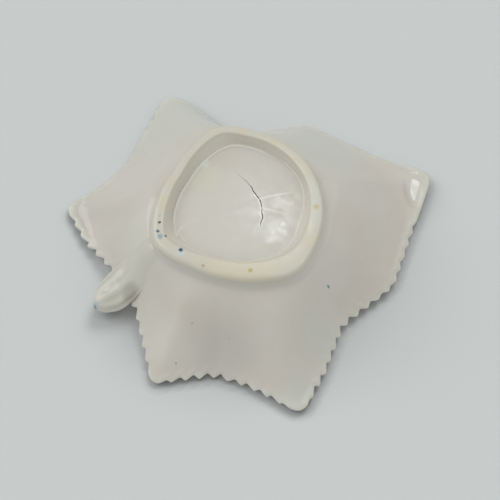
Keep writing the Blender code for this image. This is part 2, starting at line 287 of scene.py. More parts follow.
class PickleDishStalk(bpy.types.PropertyGroup):
    """Sizes and colours of the stalk"""

    width: FloatProperty(
        name="Width", description="Width of the stalk", default=12.6 * MM, **LENGTH
    )
    thickness: FloatProperty(
        name="Thickness", description="Thickness of the stalk", default=8.0 * MM, **LENGTH
    )
    bearing: FloatProperty(
        name="Bearing", description="Direction of the stalk, in degrees from +X", default=174.5,
    )
    reach: FloatProperty(
        name="Reach", description="How far the stalk runs past the leaf's edge",
        default=9.9 * MM, **LENGTH,
    )
    flutes: IntProperty(name="Flutes", description="Grooves round the stalk", default=9, min=3)
    flute_depth: FloatProperty(
        name="Flute depth", description="Depth of the grooves along the stalk",
        default=0.26 * MM, **LENGTH,
    )
    glaze: FloatVectorProperty(
        name="Glaze", description="Colour of the glaze on the stalk",
        default=(0.55, 0.54, 0.475), **COLOUR,
    )
    # Darker colour in the grooves: painted shade.
    grooves: FloatVectorProperty(
        name="Grooves", description="Colour of the glaze in the grooves",
        default=(0.42, 0.42, 0.345), **COLOUR,
    )
    trace: FloatVectorProperty(
        name="Trace", description="Colour of the blue left on the tip",
        default=(0.36, 0.44, 0.47), **COLOUR,
    )
    shine: FloatProperty(name="Roughness", description="Roughness of the glaze", default=0.1)


class PickleDishStage(bpy.types.PropertyGroup):
    """Table, floor, light and camera"""

    table: FloatVectorProperty(
        name="Table", description="Colour of the table and the floor",
        default=(0.585, 0.61, 0.605), **COLOUR,
    )
    sky: FloatProperty(name="Sky", description="Level of the light from all round", default=0.69)
    key: FloatProperty(name="Key", description="Level of the soft lamps", default=0.28)
    fill: FloatProperty(name="Fill", description="Level of the lamp across from them", default=0.11)
    window: FloatProperty(
        name="Window", description="Level of the small lamp that the glaze mirrors", default=9.0,
    )
    lens: FloatProperty(
        name="Lens", description="Focal length in millimetres", default=119.8, unit="CAMERA",
    )


def softened(values, degrees):
    """Values all round the circle, blurred by a bell curve this many degrees wide."""
    offset = np.minimum(CIRCLE, 360.0 - CIRCLE)
    bell = np.exp(-0.5 * (offset / degrees) ** 2)
    spectrum = np.fft.rfft(values) * np.fft.rfft(bell / bell.sum())
    return np.fft.irfft(spectrum, len(CIRCLE))


def straight_between(corners):
    """Reach, all round the circle, of the chords drawn from corner to corner."""
    bearing = np.array([corner[0] for corner in corners])
    reach = np.array([corner[1] for corner in corners])
    first = np.searchsorted(bearing, CIRCLE, side="right") - 1
    second = (first + 1) % len(corners)
    from_first = np.radians(CIRCLE - bearing[first])
    to_second = np.radians((bearing[second] - CIRCLE) % 360.0)
    span = np.sin(from_first + to_second)
    across = reach[first] * np.sin(from_first) + reach[second] * np.sin(to_second)
    return reach[first] * reach[second] * span / across


def rounded_columns(rows, degrees):
    """Tables of the circle from rows that begin with a bearing, softened between the rows."""
    bearing, *columns = np.transpose(rows)
    return [softened(np.interp(CIRCLE, bearing, c, period=360.0), degrees) for c in columns]


EDGE_REACH = softened(straight_between(EDGE_CORNERS), EDGE_ROUNDING)
EDGE_DROOP = rounded_columns([(c[0], c[2]) for c in EDGE_CORNERS], EDGE_ROUNDING)[0]
FOOT_REACH = softened(straight_between(FOOT_CORNERS), degrees=7.0)
FOOT_SIDE, FOOT_CREST, FOOT_RECESS = (MM * c for c in rounded_columns(FOOT_LINES, degrees=4.0))
WALL_EASE, WALL_END = rounded_columns(WALL_ENDS, degrees=3.5)


def foot_centre():
    """Point that every outline turns round: the middle of the CAD foot, less the middle of its
    outline."""
    low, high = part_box("foot_rim")
    x, y = FOOT_REACH * np.cos(np.radians(CIRCLE)), FOOT_REACH * np.sin(np.radians(CIRCLE))
    return np.array([
        (low.x + high.x - x.min() - x.max()) / 2.0, (low.y + high.y - y.min() - y.max()) / 2.0, 0.0
    ])


POLE = foot_centre()


def around(table, bearing):
    """Value of a table of the circle at these bearings."""
    return np.interp(bearing, CIRCLE, table, period=360.0)


def polar(bearing, reach, height):
    """Points at bearings and reaches from the pole and at heights, as rows of x, y, z."""
    angle = np.radians(bearing)
    rows = np.broadcast_arrays(reach * np.cos(angle), reach * np.sin(angle), height)
    return np.stack(rows, axis=-1) + POLE


def smooth(value, low, high):
    """0 below low, 1 above high, and an S curve between."""
    share = np.clip((value - low) / (high - low), 0.0, 1.0)
    return share * share * (3.0 - 2.0 * share)


def toward(bearing, middle, low, high):
    """S curve of the cosine of the turn from a middle bearing: 1 close to it and 0 away from it."""
    return smooth(np.cos(np.radians(bearing - middle)), low, high)


def floor_reach(bearing):
    """Reach of the flat floor, which ends part of the way across the slip."""
    return around(FOOT_SIDE, bearing) + 0.7 * bpy.context.scene.pickle_dish_foot.slip


def wall_share(bearing, reach):
    """0 at the edge of the flat floor, 1 at the leaf's edge, with the corner between softened:
    a hyperbola, share + sqrt(share^2 + soft), scaled to reach 1."""
    soft = 0.0036
    floor = floor_reach(bearing)
    share = (reach - floor) / (around(EDGE_REACH, bearing) - floor)
    return (share + np.sqrt(share * share + soft)) / (1.0 + np.sqrt(1.0 + soft))


def underside(bearing, reach):
    """Height of the leaf's underside: the foot's height, then a wall that climbs as an eased share
    of the way from the floor to the edge, and dips a little again past its level end."""
    leaf, foot = bpy.context.scene.pickle_dish_leaf, bpy.context.scene.pickle_dish_foot
    share = wall_share(bearing, reach)
    end = around(WALL_END, bearing)
    rise = leaf.rim_height - around(EDGE_DROOP, bearing) - foot.height
    climb = rise * (share + around(WALL_EASE, bearing) * (smooth(share, 0.0, end) - share))
    dip = 4.0 * MM * (1.0 - end) * smooth(share, end - 0.02, 1.0)
    return foot.height + climb - dip


def pooled_share(bearing, reach):
    """Where the glaze pools in the corner outside the foot, which also paints shade into that
    crease: a bell across the end of the slip, strongest on the leaf's left, the side turned from
    the key lamp."""
    aside = reach - around(FOOT_SIDE, bearing) - 0.6 * bpy.context.scene.pickle_dish_foot.slip
    return np.exp(-((aside / (1.0 * MM)) ** 2)) * toward(bearing, 105.0, 0.0, 0.8)


def linked(name, data):
    """New object for the data, in the scene."""
    made = bpy.data.objects.new(name, data)
    bpy.context.scene.collection.objects.link(made)
    return made


def wrapped(name, rings, first_pole=None, last_pole=None, closed=False):
    """Object from a grid of points that runs round its second parameter. A pole closes an end of
    the first parameter with a fan, and closed joins its last ring to its first."""
    count, steps = rings.shape[:2]
    points = rings.reshape(-1, 3)
    index = np.arange(count * steps).reshape(count, steps)
    lower = index if closed else index[:-1]
    upper = np.roll(index, -1, axis=0) if closed else index[1:]
    faces = [
        np.stack([lower, np.roll(lower, -1, 1), np.roll(upper, -1, 1), upper], -1).reshape(-1, 4)
    ]
    for pole, ring, turn in ((first_pole, index[0], -1), (last_pole, index[-1], 0)):
        if pole is not None:
            middle = np.full(steps, len(points))
            points = np.vstack([points, pole])
            second, third = np.roll(ring, turn), np.roll(ring, -1 - turn)
            faces.append(np.stack([middle, second, third], -1))
    corners = np.concatenate([face.ravel() for face in faces])
    sizes = np.concatenate([np.full(len(face), face.shape[1]) for face in faces])
    mesh = bpy.data.meshes.new(name)
    mesh.vertices.add(len(points))
    mesh.vertices.foreach_set("co", points.astype(np.float32).ravel())
    mesh.loops.add(len(corners))
    mesh.loops.foreach_set("vertex_index", corners.astype(np.int32))
    mesh.polygons.add(len(sizes))
    mesh.polygons.foreach_set("loop_start", (np.cumsum(sizes) - sizes).astype(np.int32))
    mesh.update(calc_edges=True)
    mesh.validate()
    mesh.shade_smooth()
    if closed:
        mesh.set_sharp_from_angle(angle=np.radians(60.0))
    return linked(name, mesh)


def keep_values(made, name, values):
    """Store one value for each vertex, for the material to read."""
    layer = made.data.attributes.new(name, "FLOAT", "POINT")
    layer.data.foreach_set("value", np.ascontiguousarray(values, dtype=np.float32).ravel())


def seat(made, node, material):
    """Put a finished piece in place of its CAD node."""
    made.data.materials.append(material)
    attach(made, "root")
    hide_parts(node)


class Finish:
    """Node tree of one material, with short ways to add its nodes."""

    def __init__(self, name):
        self.material = bpy.data.materials.new(name)
        self.material.use_nodes = True
        self.nodes = self.material.node_tree.nodes
        self.links = self.material.node_tree.links
        self.shader = self.nodes["Principled BSDF"]
        self.place = self.add("ShaderNodeTexCoord").outputs["Object"]

    def add(self, kind, settings=None, **sockets):
        """Add a node, set its settings, and set or link its input sockets."""
        node = self.nodes.new(kind)
        for key, value in (settings or {}).items():
            setattr(node, key, value)
        for key, value in sockets.items():
            self.feed(node.inputs[key.replace("_", " ")], value)
        return node

    def feed(self, socket, value):
        """Link a socket to another, or set it to a plain value."""
        if isinstance(value, bpy.types.NodeSocket):
            self.links.new(value, socket)
        elif socket.type == "RGBA" and len(value) == 3:
            socket.default_value = (*value, 1.0)
        else:
            socket.default_value = value

    def math(self, operation, first, second=0.0):
        """Result of a Math node."""
        node = self.add("ShaderNodeMath", {"operation": operation})
        self.feed(node.inputs[0], first)
        self.feed(node.inputs[1], second)
        return node.outputs[0]

    def times(self, first, second):
        """Product of two values."""
        return self.math("MULTIPLY", first, second)

    def vector(self, operation, *values):
        """Vector Math node with these inputs."""
        node = self.add("ShaderNodeVectorMath", {"operation": operation})
        for socket, value in zip(node.inputs, values):
            self.feed(socket, value)
        return node

    def span(self, value, low, high, to_low=0.0, to_high=1.0, kind="SMOOTHSTEP"):
        """Value carried from one range to another, smoothly unless another kind is named."""
        node = self.add("ShaderNodeMapRange", {"interpolation_type": kind})
        for key, number in (
            ("Value", value), ("From Min", low), ("From Max", high),
            ("To Min", to_low), ("To Max", to_high),
        ):
            self.feed(node.inputs[key], number)
        return node.outputs[0]

    def mix(self, factor, first, second):
        """Mix of two colours."""
        node = self.add("ShaderNodeMix", {"data_type": "RGBA"})
        self.feed(node.inputs["Factor"], factor)
        self.feed(node.inputs[6], first)
        self.feed(node.inputs[7], second)
        return node.outputs[2]

    def noise(self, scale, detail, roughness=0.5):
        """Clouds of noise; scale is in clouds per metre."""
        node = self.add(
            "ShaderNodeTexNoise", Vector=self.place, Scale=scale, Detail=detail, Roughness=roughness
        )
        return node.outputs[0]

    def attribute(self, name):
        """Value kept on the mesh."""
        return self.add("ShaderNodeAttribute", {"attribute_name": name}).outputs["Fac"]

    def axis(self, name):
        """X, Y or Z of the object coordinates."""
        return self.add("ShaderNodeSeparateXYZ", Vector=self.place).outputs[name]

    def curve(self, value, points):
        """Value read off a curve through points, both from 0 to 1."""
        node = self.add("ShaderNodeFloatCurve", Value=value)
        line = node.mapping.curves[0]
        for index, (place, level) in enumerate(points):
            if index < 2:
                line.points[index].location = (place, level)
            else:
                line.points.new(place, level)
        node.mapping.update()
        return node.outputs[0]

    def plan(self, scale, size):
        """Object coordinates in plan from the pole, pushed about by noise, for ragged spots."""
        push = self.add("ShaderNodeTexNoise", Vector=self.place, Scale=scale).outputs[1]
        moved = self.vector("MULTIPLY_ADD", push, (size, size, 0.0), self.place).outputs[0]
        shift = (-POLE[0] - size / 2.0, -POLE[1] - size / 2.0, 0.0)
        return self.vector("MULTIPLY_ADD", moved, (1.0, 1.0, 0.0), shift).outputs[0]

    def spot(self, place, centre, radius, soft):
        """1 inside a round spot, fading to 0 over its soft border, in millimetres."""
        middle = (centre[0] * MM, centre[1] * MM, 0.0)
        away = self.vector("DISTANCE", place, middle).outputs["Value"]
        return self.span(away, (radius + soft) * MM, radius * MM)

    def spots(self, colour, flecks, ragged, gate=1.0):
        """Colour with small fired-in flecks: each has a centre in plan, a radius and a colour."""
        place = self.plan(1100.0, ragged)
        for centre, radius, tint in flecks:
            factor = self.spot(place, centre, 0.4 * radius, 0.9 * radius)
            colour = self.mix(self.times(factor, gate), colour, tint)
        return colour

    def patches(self, colour, broad, gate=1.0):
        """Colour with broad soft patches: each has a centre in plan, a radius, the width of its
        border and a colour."""
        place = self.plan(60.0, 0.0)
        for centre, radius, soft, tint in broad:
            factor = self.times(self.spot(place, centre, radius, soft), gate)
            colour = self.mix(factor, colour, tint)
        return colour

    def body(self):
        """Colour of the whole dish: warm grey clouds on the leaf, creamier down the foot, greener
        and darker where the glaze pools outside the foot, which also paints shade into that
        crease, paler inside the foot as painted light on the recess wall, and worn to the bare
        body in places on the crest it stands on."""
        leaf, foot = bpy.context.scene.pickle_dish_leaf, bpy.context.scene.pickle_dish_foot
        height = self.axis("Z")
        clouds = self.span(self.noise(60.0, 3.0), 0.35, 0.65)
        dull = [c * k for c, k in zip(leaf.glaze, (0.975, 0.96, 0.935))]
        colour = self.mix(clouds, dull, leaf.glaze)
        colour = self.mix(self.span(height, 3.7 * MM, 1.0 * MM), colour, foot.glaze)
        # Darker and greener in the crease outside the foot, glaze pool and painted shade; paler on
        # the recess wall, painted light.
        pool = self.attribute("pool")
        colour = self.mix(self.span(pool, 0.0, 1.0, 0.0, 0.35), colour, foot.pooled)
        colour = self.mix(self.span(pool, 0.0, -1.0, 0.0, 0.85), colour, foot.thin)
        worn = self.span(self.noise(170.0, 3.0), 0.46, 0.66)
        worn = self.times(worn, self.span(height, 1.6 * MM, 0.1 * MM, 0.0, 0.6))
        return self.mix(worn, colour, foot.worn)

    def surface(self, colour, roughness, height=None, dull=None):
        """Finish the glaze: its colour, its roughness varied by noise and where it is dull, its
        pitted and slightly wavy face."""
        self.feed(self.shader.inputs["Base Color"], colour)
        rough = self.span(self.noise(240.0, 4.0), 0.3, 0.7, roughness - 0.03, roughness + 0.05)
        if dull is not None:
            rough = self.math("ADD", rough, self.times(dull, 0.1))
            self.feed(
                self.shader.inputs["Specular IOR Level"], self.span(dull, 0.0, 1.0, 0.5, 0.22)
            )
        self.feed(self.shader.inputs["Roughness"], rough)
        self.shader.inputs["IOR"].default_value = 1.5
        waves = self.times(self.noise(110.0, 1.0), 0.03 * MM)
        pits = self.times(self.noise(1500.0, 2.0), 0.003 * MM)
        relief = self.math("ADD", waves, pits)
        if height is not None:
            relief = self.math("ADD", relief, height)
        bump = self.add("ShaderNodeBump", Strength=1.0, Distance=1.0, Height=relief)
        self.feed(self.shader.inputs["Normal"], bump.outputs[0])
        return self.material


def draw_crack(glaze, colour, inside):
    """Colour with the crack of the recess drawn in, and the crack's open line: a pale halo along
    it, a chipped light edge beside it, and the line, whose gape follows a curve."""
    low_x, low_y = CRACK_CORNER
    wide, long = CRACK_BOX
    start, end = POLE[1] + low_y * MM, POLE[1] + (low_y + long) * MM
    along = glaze.span(glaze.axis("Y"), start, end, kind="LINEAR")
    line = glaze.curve(along, [((y - low_y) / long, (x - low_x) / wide) for x, y in CRACK])
    aside = glaze.math("SUBTRACT", glaze.axis("X"), POLE[0] + low_x * MM)
    aside = glaze.math("SUBTRACT", aside, glaze.times(line, wide * MM))
    wander = glaze.span(glaze.noise(900.0, 2.0), 0.3, 0.7, -0.12 * MM, 0.12 * MM)
    aside = glaze.math("ADD", aside, wander)
    gape = glaze.times(glaze.curve(along, CRACK_GAPE), 0.36 * MM)
    near = glaze.math("ABSOLUTE", aside)
    near = glaze.math("SUBTRACT", near, glaze.math("SUBTRACT", gape, 0.06 * MM))
    halo = glaze.times(glaze.span(near, 1.1 * MM, 0.0), inside)
    halo = glaze.times(halo, glaze.span(along, 0.5, 0.75, 0.0, 0.6))
    colour = glaze.mix(halo, colour, CRACK_HALO)
    chipped = glaze.math("ABSOLUTE", glaze.math("ADD", aside, 0.42 * MM))
    chipped = glaze.times(glaze.span(chipped, 0.24 * MM, 0.08 * MM), inside)
    chipped = glaze.times(chipped, glaze.curve(along, CRACK_CHIPS))
    colour = glaze.mix(chipped, colour, CHIPPED_EDGE)
    open_line = glaze.times(glaze.span(near, 0.06 * MM, -0.14 * MM), inside)
    return glaze.mix(open_line, colour, OPEN_CRACK), open_line


def draw_bowl(glaze, colour, brushed, bowl):
    """Colour with streaks of blue washed along the edge and traced on the veins of the bowl. The
    raised lines underneath are paler: a painted highlight."""
    blue = bpy.context.scene.pickle_dish_leaf.blue_wash
    wash = glaze.span(brushed, 0.86, 0.97)
    streaks = glaze.span(glaze.noise(420.0, 3.0, 0.6), 0.3, 0.65, 0.35, 1.0)
    inner_side = glaze.span(bowl, 0.6, 1.0)
    wash = glaze.times(glaze.times(wash, streaks), inner_side)
    colour = glaze.mix(wash, colour, blue)
    vein = glaze.attribute("vein")
    # Painted highlight: paler raised lines underneath.
    colour = glaze.mix(glaze.span(vein, -0.2, -0.9, 0.0, 0.75), colour, (0.72, 0.71, 0.66))
    traced = glaze.span(vein, 0.35, 0.95, 0.0, 0.45)
    return glaze.mix(glaze.times(traced, streaks), colour, blue)


def dulled(glaze, place, inside):
    """How dull the glaze is: clouded in the recess, glossier in a few ragged places there, and
    rubbed at the dent in the tip."""
    dull = glaze.times(glaze.span(glaze.noise(260.0, 2.0), 0.35, 0.65, 0.6, 1.0), inside)
    ragged = glaze.plan(380.0, 3.0 * MM)
    for centre, radius, soft, left in GLOSSY_PLACES:
        glossy = glaze.spot(ragged, centre, radius, soft)
        dull = glaze.times(dull, glaze.span(glossy, 0.0, 1.0, 1.0, left))
    rubbed = glaze.spot(place, DENTS[0][:2], radius=4.0, soft=3.0)
    return glaze.math("MAXIMUM", dull, glaze.times(rubbed, 0.32))


def leaf_glaze():
    """White glaze over the leaf: warm grey clouds, greener towards the edge, patches of painted
    shade and painted light underneath, painted highlights on its raised lines, a crack in the
    recess and a few flecks underneath, and a brushed blue edge in the bowl."""
    leaf = bpy.context.scene.pickle_dish_leaf
    glaze = Finish("leaf_glaze")
    bowl = glaze.attribute("bowl")
    below = glaze.math("SUBTRACT", 1.0, bowl)
    green, dark = (0.535, 0.545, 0.485), (0.513, 0.495, 0.445)
    # Patches underneath: a paler middle of the recess, greener clouds, painted shade in the left
    # bay between the lobes, a painted shadow beside the stalk, painted shade on the right ear that
    # damps its highlight, painted light on the left ear, a yellower patch in the recess and a small
    # pale spot at its far edge.
    colour = glaze.patches(glaze.body(), (
        ((-2.0, 0.0), 11.0, 6.0, (0.578, 0.56, 0.503)),
        ((-2.0, -44.0), 8.0, 12.0, green),
        ((36.0, -16.0), 6.0, 12.0, green),
        ((0.0, 55.0), 3.0, 6.0, green),
        ((13.0, 41.0), 3.0, 6.0, green),
        ((-17.0, 36.0), 3.0, 9.0, dark),
        ((-33.9, 5.9), 1.0, 3.0, (0.48, 0.475, 0.41)),
        ((-39.8, -27.5), 2.0, 5.0, (0.528, 0.508, 0.46)),
        ((-31.0, 26.5), 2.0, 7.0, (0.59, 0.57, 0.51)),
        ((-4.2, -13.2), 2.0, 5.0, (0.571, 0.567, 0.473)),
        ((-2.6, -18.0), 0.6, 1.6, (0.595, 0.615, 0.555)),
    ), below)
    ragged = glaze.span(glaze.noise(260.0, 4.0), 0.3, 0.7, -0.035, 0.035)
    brushed = glaze.math("ADD", glaze.attribute("edge"), ragged)
    colour = glaze.mix(glaze.span(brushed, 0.92, 1.03), colour, leaf.edge_glaze)
    place = glaze.plan(60.0, 0.0)
    # Tinted halfway to the edge glaze, beside the stalk.
    damp = glaze.spot(place, (-28.0, -5.0), radius=3.0, soft=8.0)
    damp = glaze.times(damp, below)
    colour = glaze.mix(glaze.times(damp, 0.5), colour, leaf.edge_glaze)

    gap = glaze.attribute("gap")
    inside = glaze.span(gap, 0.0, 1.0 * MM)
    colour, open_line = draw_crack(glaze, colour, inside)
    colour = glaze.spots(colour, (
        ((19.0, 29.5), 0.45, (0.17, 0.26, 0.25)),
        ((-31.1, 31.7), 0.35, (0.38, 0.37, 0.33)),
        ((-23.2, 25.4), 0.35, (0.40, 0.40, 0.36)),
        ((-14.2, 32.6), 0.3, (0.42, 0.42, 0.37)),
    ), 0.25 * MM, below)
    colour = draw_bowl(glaze, colour, brushed, bowl)

    second = glaze.math("ABSOLUTE", glaze.math("SUBTRACT", gap, 2.2 * MM))
    second = glaze.span(second, 0.6 * MM, 0.0, 0.0, 0.08 * MM)
    seen = glaze.spot(place, (-15.0, -10.0), radius=5.0, soft=8.0)
    second = glaze.times(second, seen)
    lines = glaze.math("ADD", second, glaze.times(open_line, -0.15 * MM))
    return glaze.surface(colour, leaf.shine, lines, dulled(glaze, place, inside))


def stalk_swell(bearing, reach):
    """How far the leaf's underside swells down to the stalk: a bell across it, wider on one side,
    that grows from the foot outwards."""
    stalk = bpy.context.scene.pickle_dish_stalk
    turned = np.radians(bearing - stalk.bearing)
    start = around(FOOT_REACH, stalk.bearing)
    aside = reach * np.sin(turned)
    bell = np.exp(-((aside / np.where(aside > 0.0, 6.5 * MM, 5.0 * MM)) ** 2))
    return 0.6 * MM * bell * smooth(reach * np.cos(turned), start - 2.0 * MM, start + 6.0 * MM)


def ribs(points, lines, width):
    """Height, from 0 to 1, of ribs along lines in plan that thin out to their ends. Each line is
    a start, a middle and an end in millimetres from the pole."""
    height = np.zeros(points.shape[:-1])
    plan = (points - POLE)[..., :2]
    for line in lines:
        first, middle, last = (np.array(place) * MM for place in line)
        steps = np.linspace(0.0, 1.0, 25)[:, None]
        path = (1 - steps) ** 2 * first + 2 * steps * (1 - steps) * middle + steps**2 * last
        for index in range(len(path) - 1):
            start, run = path[index], path[index + 1] - path[index]
            along = np.clip(((plan - start) @ run) / (run @ run), 0.0, 1.0)
            aside = np.linalg.norm(plan - start - along[..., None] * run, axis=-1)
            share = (index + along) / (len(path) - 1)
            height = np.maximum(height, np.exp(-((aside / width) ** 2)) * (1.0 - 0.8 * share**2))
    return height


def edge_stations():
    """Bearings of stations even along the leaf's edge, eight to a tooth, and how deep the edge is
    cut at each: a zigzag with rounded corners, arcsin(sharp * cos), whose depth varies from tooth
    to tooth and fades at the leaf's points and where the teeth are worn."""
    leaf = bpy.context.scene.pickle_dish_leaf
    turn = np.append(CIRCLE, 360.0)
    edge = around(EDGE_REACH, turn)
    x, y = edge * np.cos(np.radians(turn)), edge * np.sin(np.radians(turn))
    run = np.append(0.0, np.cumsum(np.hypot(np.diff(x), np.diff(y))))
    teeth = round(run[-1] / leaf.tooth_pitch)
    place = np.arange(8 * teeth) * run[-1] / (8 * teeth)
    bearing = np.interp(place, run, turn)
    phase = place / run[-1] * teeth
    sharp = 0.93
    wave = np.arcsin(sharp * np.cos(2.0 * np.pi * phase)) / np.arcsin(sharp)
    apart = np.abs(place[:, None] - np.interp(POINTS, turn, run)[None, :])
    apart = np.minimum(apart, run[-1] - apart)
    grown = np.clip((apart - TOOTH_STARTS) / TOOTH_GROWTH, 0.0, 1.0).min(axis=1)
    tooth = np.floor(phase + 0.5)
    hand = 1.0 + 0.22 * np.sin(tooth * 2.4) * np.sin(tooth * 1.1)
    left = 1.0
    for middle, worn, low, high in WORN_TEETH:
        left = left - worn * toward(bearing, middle, low, high)
    return bearing[None, :], leaf.tooth_depth * hand * left * (0.5 - 0.5 * wave) * grown


def facing(bearing, reach):
    """Outward slope along the wall and the normal that points into the bowl, from differences of
    the underside's height along and across the bearing."""
    step = SLOPE_STEP
    along = (underside(bearing, reach + step) - underside(bearing, reach - step)) / (2 * step)
    angle = np.degrees(step / np.maximum(reach, step))
    across = underside(bearing + angle, reach) - underside(bearing - angle, reach)
    across = across / (2 * np.radians(angle) * np.maximum(reach, step))
    turned = np.radians(bearing + 0.0 * reach)
    out = np.stack([np.cos(turned), np.sin(turned), 0.0 * turned], -1)
    side = np.stack([-np.sin(turned), np.cos(turned), 0.0 * turned], -1)
    up = np.array([0.0, 0.0, 1.0])
    normal = up - along[..., None] * out - across[..., None] * side
    slope = out + along[..., None] * up
    return (
        slope / np.linalg.norm(slope, axis=-1, keepdims=True),
        normal / np.linalg.norm(normal, axis=-1, keepdims=True),
    )


def press_dents(under):
    """Press the dents into the underside: inside an oval its height becomes a leaning plane."""
    for x, y, half, length, turned, *lean in DENTS:
        aside = under[..., :2] - POLE[:2] - np.array([x, y]) * MM
        angle = np.radians(turned)
        along = aside @ np.array([np.cos(angle), np.sin(angle)]) / length
        across = aside @ np.array([np.sin(angle), -np.cos(angle)]) / half
        pressed = smooth(np.hypot(across, along), 1.6 * MM, 1.0 * MM)
        middle = underside(np.degrees(np.arctan2(y, x)) % 360.0, np.hypot(x, y) * MM)
        under[..., 2] += pressed * (middle + aside @ np.array(lean) - under[..., 2])


def make_leaf():
    """The leaf as one closed shell. Its first parameter runs from the middle of the underside out
    to the edge, round the half-round lip and back over the bowl; the second is the bearing."""
    leaf, foot = bpy.context.scene.pickle_dish_leaf, bpy.context.scene.pickle_dish_foot
    bearing, cut = edge_stations()
    floor, recess = floor_reach(bearing), around(FOOT_RECESS, bearing)
    corner = around(FOOT_SIDE, bearing) + foot.slip
    lip = leaf.edge_wall / 2.0
    tilt = facing(bearing, around(EDGE_REACH, bearing))[0][..., 2]
    overhang = lip * np.sqrt(1.0 - tilt * tilt) + leaf.edge_wall * np.maximum(-tilt, 0.0)
    edge = around(EDGE_REACH, bearing) - overhang - 0.25 * MM

    def face(stations, counts):
        """Reaches of one face's rings, which run evenly from station to station, their share of
        the wall, its points, its slopes and its normals."""
        runs = [
            first + (last - first) * np.linspace(0.0, 1.0, count + 1)[1:, None]
            for first, last, count in zip(stations, stations[1:], counts)
        ]
        reach = np.vstack([stations[0], *runs])
        reach = reach - smooth((reach - floor) / (edge - floor), 0.75, 1.0) * cut
        share = np.clip((reach - floor) / (edge - floor), 0.0, 1.0)
        points = polar(bearing, reach, underside(bearing, reach))
        return reach, share, points, *facing(bearing, reach)

    stations = (
        0.03 * recess, recess - 3.0 * MM, recess + 0.8 * MM, corner - 1.2 * MM,
        corner + 1.6 * MM, 0.35 * floor + 0.65 * edge, edge,
    )
    reach, share, under, slope, normal = face(stations, (9, 15, 4, 9, 10, 16))
    gap = recess - reach
    bead = 0.2 * MM * np.exp(-(((edge - cut - reach - 0.8 * MM) / (0.8 * MM)) ** 2))
    ridge = np.exp(-(((gap - 0.7 * MM) / (0.55 * MM)) ** 2)) * toward(bearing, 255.0, -0.1, 0.6)
    faint = ribs(under, FAINT_VEINS, width=0.9 * MM)
    lines = ribs(under, RECESS_VEINS, width=0.5 * MM)
    # The raised lines, with the ridge along the recess edge on the far and left sides, also get a
    # painted highlight through their paler colour.
    lines = np.maximum(lines, np.maximum(0.7 * ridge, 0.5 * faint))
    press_dents(under)
    relief = bead + 0.4 * MM * ridge + 0.02 * MM * lines + 0.07 * MM * faint
    under = under - relief[..., None] * normal
    under[..., 2] -= stalk_swell(bearing, reach)
    under[..., 2] -= (foot.height - foot.recess) * smooth(gap, -1.5 * MM, -0.3 * MM)

    _, bowl_share, upper, _, up = face((0.03 * floor, floor, edge), (29, 26))
    wall = leaf.floor_wall + (leaf.edge_wall - leaf.floor_wall) * bowl_share
    upper = upper + wall[..., None] * up
    veins = ribs(upper, BOWL_VEINS, width=0.85 * MM) * smooth(bowl_share, 0.98, 0.85)
    upper = upper + leaf.vein_height * veins[..., None] * up

    bend = np.linspace(0.0, np.pi, 7)[1:-1, None, None]
    middle, half = (upper[-1] + under[-1]) / 2.0, (upper[-1] - under[-1]) / 2.0
    round_lip = middle - np.cos(bend) * half + lip * np.sin(bend) * slope[-1]
    made = wrapped(
        "leaf", np.concatenate([under, round_lip, upper[::-1]]),
        first_pole=POLE + [0.0, 0.0, foot.recess],
        last_pole=POLE + [0.0, 0.0, foot.height + leaf.floor_wall],
    )
    for name, below, lips, above, ends in (
        ("edge", share, 1.0, bowl_share, (0.0, 0.0)),
        ("bowl", 0.0, 0.5, 1.0, (0.0, 1.0)),
        ("gap", gap, -1.0, -1.0, (20.0 * MM, -1.0)),
        # Raised lines underneath, stored negative, get a painted highlight; the bowl's veins get
        # blue.
        ("vein", -lines, 0.0, veins, (0.0, 0.0)),
        # Glaze pool outside the foot, also painted crease shade.
        ("pool", pooled_share(bearing, reach), 0.0, 0.0, (0.0, 0.0)),
    ):
        below, lips, above = (
            np.broadcast_to(values, points.shape[:2])
            for values, points in ((below, under), (lips, round_lip), (above, upper))
        )
        keep_values(made, name, np.append(np.concatenate([below, lips, above[::-1]]), ends))
    return made


def foot_glaze():
    """Creamy glaze on the foot rim, worn to a warm body where it stands, with fired-in flecks."""
    glaze = Finish("foot_glaze")
    colour = glaze.patches(glaze.body(), (
        ((-6.0, 20.5), 5.0, 8.0, (0.582, 0.55, 0.423)),
        ((24.0, 8.0), 3.0, 8.0, (0.572, 0.562, 0.486)),
    ))
    colour = glaze.spots(colour, (
        ((-21.7, -4.7), 0.55, (0.46, 0.48, 0.47)),
        ((-22.5, -2.7), 0.42, (0.04, 0.05, 0.07)),
        ((-24.0, -0.1), 0.6, (0.10, 0.15, 0.20)),
        ((-23.9, 1.8), 0.95, (0.30, 0.37, 0.41)),
        ((-22.3, 2.1), 0.38, (0.15, 0.14, 0.07)),
        ((-19.9, 8.8), 1.3, (0.52, 0.59, 0.60)),
        ((-19.75, 8.1), 0.75, (0.02, 0.045, 0.10)),
        ((-15.4, 15.2), 0.55, (0.44, 0.37, 0.25)),
        ((-3.0, 21.6), 0.75, (0.46, 0.38, 0.17)),
        ((22.6, 9.6), 0.95, (0.52, 0.45, 0.25)),
        ((-19.2, -10.0), 0.6, (0.56, 0.55, 0.32)),
    ), 0.9 * MM)
    return glaze.surface(colour, bpy.context.scene.pickle_dish_foot.shine)


def bezier(points, share):
    """Cubic curve: the sum of four points, weighted by the powers of the share."""
    weights = (1 - share) ** 3, 3 * share * (1 - share) ** 2, 3 * share**2 * (1 - share), share**3
    return sum(weight[..., None] * point for weight, point in zip(weights, points))


def corner_points(*pairs):
    """Points of a section, each a reach and a height, for all bearings."""
    return [np.stack(np.broadcast_arrays(*pair), axis=-1) for pair in pairs]


def foot_bearings():
    """Bearings of the stations round the foot."""
    return np.linspace(0.0, 360.0, 480, endpoint=False)[None, :]


